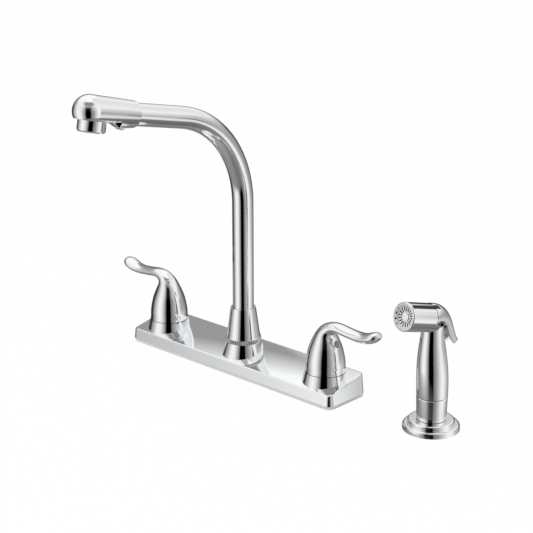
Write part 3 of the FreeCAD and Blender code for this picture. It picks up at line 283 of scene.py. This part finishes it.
def slotted_plastic(name, colour, axis):
    """Bright moulded plastic with painted shade: its colour falls nearly to black on the slot walls, which
    look aside from the axis.
    """
    material, tree, shader = new_material(name)
    place = tree.nodes.new("ShaderNodeTexCoord")
    facing = tree.nodes.new("ShaderNodeVectorMath")
    facing.operation = "DOT_PRODUCT"
    facing.inputs[1].default_value = axis
    tree.links.new(place.outputs["Normal"], facing.inputs[0])
    # Painted shade: the base colour blends down to 4 % where the surface looks aside from the axis, as on
    # the slot walls
    tint(tree, facing.outputs["Value"], shade(colour, 0.04), colour, shader.inputs["Base Color"])
    cloud = speckle(tree, CLOUD_SCALE)
    spread(tree, cloud.outputs["Fac"], 0.24, 0.38, shader.inputs["Roughness"])
    return material


def soft_rubber(name, colour):
    """Dark rubber with a dusty bloom."""
    material, tree, shader = new_material(name)
    bloom = speckle(tree, BLOOM_SCALE, 6)
    tint(tree, bloom.outputs["Fac"], colour, shade(colour, 2.2), shader.inputs["Base Color"])
    spread(tree, bloom.outputs["Fac"], 0.62, 0.86, shader.inputs["Roughness"])
    pores = speckle(tree, PORE_SCALE)
    bump(tree, shader, pores.outputs["Fac"], 0.3, PORE_RELIEF)
    return material


def front_of(node):
    """The direction in which a node's front, the side towards -Y, looks on the whole."""
    total = Vector((0, 0, 0))
    for face in NODES[node].data.polygons:
        if face.normal.y < -0.7:
            total += face.normal * face.area
    return total.normalized()


FINISHES = {}


def coat(material_name):
    """The finish of that name, made once."""
    if material_name not in FINISHES:
        look = finish()
        smooth = look.chrome_roughness
        recipes = {
            "cast_chrome": (polished_chrome, look.chrome, smooth, 0.006),
            "crowned_chrome": (crowned_chrome, look.chrome, smooth, 1.4),
            "drawn_chrome": (polished_chrome, look.chrome, smooth, 0.002),
            # Painted shade: the knurl band's chrome is darkened to 58 % to stand for the shade between its
            # ridges
            "knurled_chrome": (polished_chrome, shade(look.chrome, 0.58), smooth * 5, 0.02),
            "plated_plastic": (polished_chrome, look.moulded_chrome, smooth * 1.3, 0.005),
            "brass": (turned_metal, look.brass, 0.28),
            "copper": (turned_metal, look.copper, 0.3),
            "steel": (turned_metal, look.steel, 0.33),
            "rubber": (soft_rubber, look.rubber),
            "pale_foam": (moulded_plastic, look.gasket, 0.7, 0.3),
            "ceramic": (moulded_plastic, look.ceramic, 0.16, 0.02),
            "white_plastic": (moulded_plastic, look.white_plastic, 0.3, 0.05),
            "slotted_plastic": (slotted_plastic, look.white_plastic, front_of("spray_face")),
            "grey_plastic": (moulded_plastic, look.grey_plastic, 0.45, 0.12),
        }
        maker, *details = recipes[material_name]
        FINISHES[material_name] = maker(material_name, *details)
    return FINISHES[material_name]


def dress(material_name, *names):
    """Give solids of the frame a finish."""
    for name in names:
        piece = NODES[name]
        piece.data.materials.clear()
        piece.data.materials.append(coat(material_name))


def soften(width, *names, segments=2):
    """Round the sharp edges of solids a little, so that they catch the light."""
    for name in names:
        bevel = NODES[name].modifiers.new("soft_edges", "BEVEL")
        bevel.width = width
        bevel.segments = segments
        bevel.limit_method = "ANGLE"
        bevel.angle_limit = math.radians(40)
        bevel.harden_normals = True


def add_piece(name, mesh, body, material_name):
    piece = bpy.data.objects.new(name, mesh)
    bpy.context.scene.collection.objects.link(piece)
    mesh.materials.append(coat(material_name))
    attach(piece, body)
    return piece


def middle(name):
    low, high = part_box(name)
    return (low + high) / 2


def mesh_from_grid(name, rows, closed_rows, closed_columns):
    """A mesh whose points lie in rows, joined along the rows and across them."""
    shape = bmesh.new()
    grid = [[shape.verts.new(point) for point in row] for row in rows]
    count = len(grid)
    for index in range(count if closed_rows else count - 1):
        here, there = grid[index], grid[(index + 1) % count]
        width = len(here)
        for step in range(width if closed_columns else width - 1):
            following = (step + 1) % width
            shape.faces.new((here[step], here[following], there[following], there[step]))
    if not closed_rows and closed_columns:
        shape.faces.new(list(reversed(grid[0])))
        shape.faces.new(grid[-1])
    bmesh.ops.recalc_face_normals(shape, faces=shape.faces)
    mesh = bpy.data.meshes.new(name)
    shape.to_mesh(mesh)
    shape.free()
    return mesh


def point_about(centre, angle, reach, height):
    """A point at an angle and a reach about an upright axis."""
    return Vector((centre.x + reach * math.cos(angle), centre.y + reach * math.sin(angle), height))


def thread_mesh(name, centre, radius, low, high):
    """A screw thread standing on a round shank between two heights."""
    pitch = finish().thread_pitch
    depth = finish().thread_depth
    steps_in_turn = 36
    turns = (high - low) / pitch - 1
    steps = int(turns * steps_in_turn)
    root = radius - depth * 0.3
    rows = []
    for step in range(steps + 1):
        angle = 2 * math.pi * step / steps_in_turn
        fade = min(1, step / steps_in_turn, (steps - step) / steps_in_turn)
        height = low + pitch * step / steps_in_turn
        crest = radius + depth * (0.1 + 0.9 * fade)
        profile = ((root, 0.06), (crest, 0.42), (crest, 0.58), (root, 0.94))
        rows.append([point_about(centre, angle, reach, height + pitch * lift) for reach, lift in profile])
    return mesh_from_grid(name, rows, False, True)


def knurl_mesh(name, centre, radius, low, high):
    """A band of straight ridges round the spout nut."""
    count = finish().knurl_count
    depth = finish().knurl_depth
    ridge = (0.1, 0.55, 1.0, 1.0, 0.55, 0.1)
    steps = count * len(ridge)
    inner = radius - depth
    rows = []
    for step in range(steps):
        angle = 2 * math.pi * step / steps
        crest = radius + depth * ridge[step % len(ridge)]
        profile = (
            (radius, low), (crest, low + depth), (crest, high - depth), (radius, high),
            (inner, high), (inner, low),
        )
        rows.append([point_about(centre, angle, reach, height) for reach, height in profile])
    return mesh_from_grid(name, rows, True, True)


def sprung_copy(name, node, body, material_name):
    """Stand in for a spring with a copy of its mesh on a body, and hide the spring's own piece."""
    mesh = NODES[node].data.copy()
    mesh.materials.clear()
    spring = add_piece(name, mesh, body, material_name)
    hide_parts(node)
    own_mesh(spring)
    return spring


# Rounding of turned edges, and of the holder's steps
EDGE_ROUND = 0.0004
HOLDER_ROUND = 0.0024
HOLDER_ROUND_STEPS = 5
# Threaded part of the inlet shanks
SHANK_RADIUS = 0.01045
SHANK_THREAD_LENGTH = 0.034
# Heights of the ridged band above the spout nut's foot
KNURL_FOOT = 0.0004
KNURL_TOP = 0.0046


# Pieces
class FAUCET_OT_deck_plate(bpy.types.Operator):
    """Dress the deck plate and the gasket under it"""

    bl_idname = "faucet.deck_plate"
    bl_label = "Deck plate"

    def execute(self, context):
        dress("crowned_chrome", "deck_plate")
        dress("pale_foam", "deck_gasket")
        return {"FINISHED"}


class FAUCET_OT_valves(bpy.types.Operator):
    """Dress the valve bodies, cartridges, base rings and crossover tubes"""

    bl_idname = "faucet.valves"
    bl_label = "Valves"

    def execute(self, context):
        for side in ("hot", "cold"):
            dress("cast_chrome", side + "_base_ring")
            dress("brass", side + "_valve_body", side + "_bonnet_nut")
            dress("brass", side + "_cartridge", side + "_stem")
            dress("rubber", side + "_seat_seal")
            dress("ceramic", side + "_fixed_disc", side + "_moving_disc")
            dress("copper", side + "_crossover")
            soften(EDGE_ROUND, side + "_base_ring")
        return {"FINISHED"}


class FAUCET_OT_handles(bpy.types.Operator):
    """Dress both lever handles with their set screws and index buttons"""

    bl_idname = "faucet.handles"
    bl_label = "Lever handles"

    def execute(self, context):
        for side in ("hot", "cold"):
            dress("cast_chrome", side + "_handle")
            dress("grey_plastic", side + "_index_button")
            dress("steel", side + "_set_screw")
        return {"FINISHED"}


class FAUCET_OT_under_deck(bpy.types.Operator):
    """Dress the washers and nuts under the deck and cut the shanks' threads"""

    bl_idname = "faucet.under_deck"
    bl_label = "Under the deck"

    def execute(self, context):
        dress("steel", "deck_washers")
        dress("brass", "mounting_nuts", "centre_body")
        for side in ("hot", "cold"):
            name = side + "_shank_thread"
            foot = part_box(side + "_valve_body")[0].z
            centre = middle(side + "_valve_body")
            mesh = thread_mesh(name, centre, SHANK_RADIUS, foot, foot + SHANK_THREAD_LENGTH)
            add_piece(name, mesh, "deck_assembly", "brass")
        return {"FINISHED"}


class FAUCET_OT_spout_base(bpy.types.Operator):
    """Dress the spout's flange and nut, and knurl the nut's band"""

    bl_idname = "faucet.spout_base"
    bl_label = "Spout base"

    def execute(self, context):
        dress("cast_chrome", "spout_flange")
        dress("drawn_chrome", "spout_nut")
        dress("white_plastic", "diverter_piston")
        low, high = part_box("spout_nut")
        radius = (high.x - low.x) / 2
        name = "spout_nut_knurl"
        mesh = knurl_mesh(name, middle("spout_nut"), radius, low.z + KNURL_FOOT, low.z + KNURL_TOP)
        # The band's chrome is darkened as painted shade of its ridges
        add_piece(name, mesh, "deck_assembly", "knurled_chrome")
        soften(EDGE_ROUND, "spout_flange", "spout_nut")
        return {"FINISHED"}


class FAUCET_OT_spout(bpy.types.Operator):
    """Dress the swivel spout with its head and aerator"""

    bl_idname = "faucet.spout"
    bl_label = "Spout"

    def execute(self, context):
        dress("drawn_chrome", "spout_tube", "aerator_housing")
        dress("cast_chrome", "spout_head")
        dress("brass", "spout_tailpiece")
        dress("rubber", "spout_o_rings", "aerator_washer")
        dress("steel", "aerator_screen")
        return {"FINISHED"}


class FAUCET_OT_spray_stand(bpy.types.Operator):
    """Dress the sprayer's holder with its gasket and nut"""

    bl_idname = "faucet.spray_stand"
    bl_label = "Sprayer holder"

    def execute(self, context):
        dress("drawn_chrome", "spray_holder")
        soften(HOLDER_ROUND, "spray_holder", segments=HOLDER_ROUND_STEPS)
        dress("rubber", "spray_holder_gasket")
        dress("white_plastic", "spray_holder_nut")
        return {"FINISHED"}


class FAUCET_OT_sprayer(bpy.types.Operator):
    """Dress the side sprayer with its face, thumb lever and valve"""

    bl_idname = "faucet.sprayer"
    bl_label = "Side sprayer"

    def execute(self, context):
        dress("plated_plastic", "spray_grip", "spray_trigger", "spray_face_rim", "hose_coupling")
        # The spray face's plastic carries painted shade on its slot walls
        dress("slotted_plastic", "spray_face")
        dress("rubber", "swivel_washer")
        dress("steel", "trigger_pin")
        sprung_copy("spray_valve_coil", "spray_spring", "spray_handle", "steel")
        dress("brass", "spray_valve_stem", "spray_valve_gland")
        return {"FINISHED"}


# Stage
def white_to_the_eye(tree):
    """One for rays that show the background: those of the camera, mirrors and glass."""
    path = tree.nodes.new("ShaderNodeLightPath")
    seen = maths(tree, "MAXIMUM", path.outputs["Is Camera Ray"], path.outputs["Is Glossy Ray"])
    return maths(tree, "MAXIMUM", seen, path.outputs["Is Transmission Ray"])


def stage_plane(name, place, across, along, width, height):
    """A flat stage panel spanned by two directions about its middle."""
    corners = []
    for right, up in ((-1, -1), (1, -1), (1, 1), (-1, 1)):
        corners.append(place + across * (right * width / 2) + along * (up * height / 2))
    mesh = bpy.data.meshes.new(name)
    mesh.from_pydata(corners, [], [(0, 1, 2, 3)])
    panel = bpy.data.objects.new(name, mesh)
    bpy.context.scene.collection.objects.link(panel)
    return panel


# Tones of the studio wall that the plating mirrors: degrees from the camera's side, level
LOW_TONES = ((-180, 0.22), (-60, 0.26), (0, 0.16), (60, 0.26), (100, 0.15), (130, 0.13), (180, 0.22))
LEFT_AND_FRONT_TONES = (
    (-180, 0.24), (-148, 0.06), (-120, 0.03), (-112, 0.26), (-95, 0.48), (-86, 0.66), (-76, 0.86),
    (-63, 0.94), (-48, 0.80), (-36, 0.48), (-24, 0.20), (-19, 0), (9, 0), (13, 0.18), (28, 0.30),
    (45, 0.60), (58, 0.85),
)
WALL_TONES = LEFT_AND_FRONT_TONES + (
    (76, 0.92), (88, 0.76), (95, 0.57), (106, 0.55), (118, 0.42), (130, 0.30), (145, 0.12), (156, 0.03),
    (170, 0.03), (180, 0.24),
)
SIDE_TONES = LEFT_AND_FRONT_TONES + (
    (74, 0.88), (84, 0.42), (112, 0.32), (130, 0.22), (156, 0.03), (170, 0.03), (180, 0.24),
)
HIGH_TONES = (
    (-180, 0.70), (-176, 0.32), (-150, 0.32), (-120, 0.40), (-80, 0.88), (-48, 0.80), (-30, 0.40),
    (-18, 0.01), (8, 0.01), (16, 0.30), (45, 0.65), (60, 0.90), (98, 0.88), (113, 0.82), (140, 0.78),
    (150, 0.90), (180, 0.70),
)
TOP_TONES = (
    (-180, 1.0), (-90, 0.92), (-45, 0.85), (-20, 0.32), (16, 0.32), (42, 0.82), (90, 0.90), (110, 0.78),
    (148, 0.78), (160, 1.0), (180, 1.0),
)
CEILING_TONES = (
    (-180, 1.0), (-90, 0.92), (-65, 0.85), (-40, 0.26), (40, 0.26), (65, 0.85), (110, 0.78), (148, 0.78),
    (160, 1.0), (180, 1.0),
)
# Heights of the wall's rows with their tones
WALL_ROWS = (
    (-1.8, LOW_TONES), (-0.70, LOW_TONES), (-0.48, WALL_TONES), (-0.30, WALL_TONES), (-0.08, SIDE_TONES),
    (0.12, SIDE_TONES), (0.40, WALL_TONES), (0.68, HIGH_TONES), (0.90, HIGH_TONES), (1.16, TOP_TONES),
    (1.45, TOP_TONES), (1.75, CEILING_TONES), (3.0, CEILING_TONES), (4.2, TOP_TONES),
)
WALL_FLOOR_TONE = 0.35
WALL_RADIUS = 1.25
# The camera's side of the part, in degrees from -Y towards +X
CAMERA_SIDE = 43.2
# The card behind the sprayer: its middle from that of the face's rim, the way it looks, its sides and level
CARD_OFFSET = Vector((0.0064, 0.1255, 0.066))
CARD_FACING = Vector((0, 0.88, 0.47))
CARD_WIDTH = 0.062
CARD_HEIGHT = 0.040
CARD_TONE = 0.055
# The floor's finish
FLOOR_COLOUR = (0.92, 0.92, 0.92, 1)
FLOOR_ROUGHNESS = 0.9
# The camera's sensor, in millimetres, and the least distance that it sees, in metres
SENSOR_WIDTH = 36
NEAREST_SEEN = 0.01
# The soft lights
KEY_PLACE = Vector((-0.9, -1.0, 1.5))
KEY_SIZE = 1.0
FILL_PLACE = Vector((1.5, 0.2, 1.1))
FILL_SIZE = 0.8


def graded(stations, value):
    """The level at a value between stations."""
    for (left, low), (right, high) in zip(stations, stations[1:]):
        if left <= value <= right:
            return low + (high - low) * (value - left) / (right - left)
    return stations[-1][1]


def reflected_only(stage_object):
    """Show a stage piece to mirrors alone, so that it neither lights nor hides anything."""
    stage_object.visible_camera = False
    stage_object.visible_diffuse = False
    stage_object.visible_shadow = False


def unlit_material(name, strength):
    """A material that shows its own light alone."""
    material, tree, shader = new_material(name)
    shader.inputs["Base Color"].default_value = BLACK
    shader.inputs["Specular IOR Level"].default_value = 0
    shader.inputs["Emission Color"].default_value = WHITE
    shader.inputs["Emission Strength"].default_value = strength
    return material, tree, shader


def studio_wall():
    """A round wall that only reflections see, in soft greys with dark gaps between its panels."""
    shape = bmesh.new()
    levels = []
    steps = 360
    rings = []
    for height, tones in WALL_ROWS:
        ring = []
        for step in range(steps):
            turn = step * 360 / steps - 180
            angle = math.radians(CAMERA_SIDE + turn)
            across, along = WALL_RADIUS * math.sin(angle), -WALL_RADIUS * math.cos(angle)
            ring.append(shape.verts.new((across, along, height)))
            levels.append(graded(tones, turn))
        rings.append(ring)
    for lower, upper in zip(rings, rings[1:]):
        for step in range(steps):
            following = (step + 1) % steps
            shape.faces.new((lower[step], lower[following], upper[following], upper[step]))
    middle_of_floor = shape.verts.new((0, 0, WALL_ROWS[0][0]))
    levels.append(WALL_FLOOR_TONE)
    for step in range(steps):
        shape.faces.new((rings[0][(step + 1) % steps], rings[0][step], middle_of_floor))
    mesh = bpy.data.meshes.new("studio_wall")
    shape.to_mesh(mesh)
    shape.free()
    tone = mesh.color_attributes.new("tone", "FLOAT_COLOR", "POINT")
    for index, level in enumerate(levels):
        tone.data[index].color = (level, level, level, 1)
    wall = bpy.data.objects.new("studio_wall", mesh)
    bpy.context.scene.collection.objects.link(wall)
    reflected_only(wall)
    material, tree, shader = unlit_material("studio_wall", 1)
    tones = tree.nodes.new("ShaderNodeAttribute")
    tones.attribute_name = "tone"
    tree.links.new(tones.outputs["Color"], shader.inputs["Emission Color"])
    mesh.materials.append(material)


def dark_card():
    """A small card behind the sprayer that only reflections see; it draws the head's dark band."""
    across = Vector((1, 0, 0))
    place = middle("spray_face_rim") + CARD_OFFSET
    card = stage_plane("dark_card", place, across, across.cross(CARD_FACING), CARD_WIDTH, CARD_HEIGHT)
    reflected_only(card)
    card.data.materials.append(unlit_material("dark_card", CARD_TONE)[0])


def soft_light(name, place, aim, size, power):
    lamp = bpy.data.lights.new(name, "AREA")
    lamp.shape = "RECTANGLE"
    lamp.size = size
    lamp.size_y = size
    lamp.energy = power
    light = bpy.data.objects.new(name, lamp)
    light.location = place
    light.rotation_euler = (aim - place).to_track_quat("-Z", "Y").to_euler()
    light.visible_glossy = False
    bpy.context.scene.collection.objects.link(light)
    return light


# Pieces that the sink deck hides, which the floor stands for
UNDER_DECK = (
    "hot_valve_body", "cold_valve_body", "deck_washers", "mounting_nuts", "centre_body",
    "spray_holder_nut", "hot_shank_thread", "cold_shank_thread",
)


class FAUCET_OT_stage(bpy.types.Operator):
    """Set the camera, the pale floor, the soft lights, the studio wall and the dark card"""

    bl_idname = "faucet.stage"
    bl_label = "Stage"

    def execute(self, context):
        scene = context.scene
        stage = scene.faucet_stage
        aim = Vector(stage.camera_aim)
        camera = bpy.data.objects.new("photo_camera", bpy.data.cameras.new("photo_camera"))
        camera.data.lens = stage.camera_lens
        camera.data.sensor_width = SENSOR_WIDTH
        camera.data.clip_start = NEAREST_SEEN
        camera.location = stage.camera_place
        camera.rotation_euler = (aim - camera.location).to_track_quat("-Z", "Y").to_euler()
        scene.collection.objects.link(camera)
        scene.camera = camera
        self.add_floor(stage)
        self.add_world(scene, stage)
        soft_light("key_light", KEY_PLACE, aim, KEY_SIZE, stage.key_power)
        soft_light("fill_light", FILL_PLACE, aim, FILL_SIZE, stage.fill_power)
        studio_wall()
        dark_card()
        for name in UNDER_DECK:
            bpy.data.objects[name].visible_glossy = False
        scene.view_settings.view_transform = "Standard"
        return {"FINISHED"}

    def add_floor(self, stage):
        floor = stage_plane("pale_floor", Vector((0, 0, 0)), Vector((1, 0, 0)), Vector((0, 1, 0)),
                            stage.floor_size, stage.floor_size)
        floor.visible_glossy = False
        material, tree, shader = new_material("pale_floor")
        shader.inputs["Base Color"].default_value = FLOOR_COLOUR
        shader.inputs["Roughness"].default_value = FLOOR_ROUGHNESS
        shader.inputs["Specular IOR Level"].default_value = 0
        glow = tree.nodes.new("ShaderNodeEmission")
        share = maths(tree, "MULTIPLY", white_to_the_eye(tree), stage.floor_glow)
        blend = tree.nodes.new("ShaderNodeMixShader")
        tree.links.new(share, blend.inputs["Fac"])
        tree.links.new(shader.outputs["BSDF"], blend.inputs[1])
        tree.links.new(glow.outputs["Emission"], blend.inputs[2])
        tree.links.new(blend.outputs["Shader"], tree.nodes["Material Output"].inputs["Surface"])
        floor.data.materials.append(material)

    def add_world(self, scene, stage):
        world = bpy.data.worlds.new("white_room")
        world.use_nodes = True
        tree = world.node_tree
        room = tree.nodes["Background"]
        room.inputs["Color"].default_value = WHITE
        room.inputs["Strength"].default_value = stage.room_light
        seen = tree.nodes.new("ShaderNodeBackground")
        seen.inputs["Color"].default_value = WHITE
        seen.inputs["Strength"].default_value = 1
        blend = tree.nodes.new("ShaderNodeMixShader")
        tree.links.new(white_to_the_eye(tree), blend.inputs["Fac"])
        tree.links.new(room.outputs["Background"], blend.inputs[1])
        tree.links.new(seen.outputs["Background"], blend.inputs[2])
        tree.links.new(blend.outputs["Shader"], tree.nodes["World Output"].inputs["Surface"])
        scene.world = world


PIECE_OPERATORS = (
    FAUCET_OT_deck_plate,
    FAUCET_OT_valves,
    FAUCET_OT_handles,
    FAUCET_OT_under_deck,
    FAUCET_OT_spout_base,
    FAUCET_OT_spout,
    FAUCET_OT_spray_stand,
    FAUCET_OT_sprayer,
    FAUCET_OT_stage,
)


class FAUCET_PT_panel(bpy.types.Panel):
    """Lists the faucet's pieces and its finishes"""

    bl_idname = "FAUCET_PT_panel"
    bl_label = "Faucet"
    bl_space_type = "VIEW_3D"
    bl_region_type = "UI"
    bl_category = "Faucet"

    def draw(self, context):
        for operator in PIECE_OPERATORS:
            self.layout.operator(operator.bl_idname)
        for group in (context.scene.faucet_finish, context.scene.faucet_stage):
            box = self.layout.box()
            for name in group.bl_rna.properties.keys():
                if name not in ("rna_type", "name"):
                    box.prop(group, name)


CLASSES = (FaucetFinish, FaucetStage) + PIECE_OPERATORS + (FAUCET_PT_panel,)


def register():
    for kind in CLASSES:
        bpy.utils.register_class(kind)
    bpy.types.Scene.faucet_finish = bpy.props.PointerProperty(type=FaucetFinish)
    bpy.types.Scene.faucet_stage = bpy.props.PointerProperty(type=FaucetStage)


def unregister():
    del bpy.types.Scene.faucet_stage
    del bpy.types.Scene.faucet_finish
    for kind in reversed(CLASSES):
        bpy.utils.unregister_class(kind)


def main():
    register()
    bpy.ops.faucet.deck_plate()
    bpy.ops.faucet.valves()
    bpy.ops.faucet.handles()
    bpy.ops.faucet.under_deck()
    bpy.ops.faucet.spout_base()
    bpy.ops.faucet.spout()
    bpy.ops.faucet.spray_stand()
    bpy.ops.faucet.sprayer()
    bpy.ops.faucet.stage()


if __name__ == "__main__":
    main()
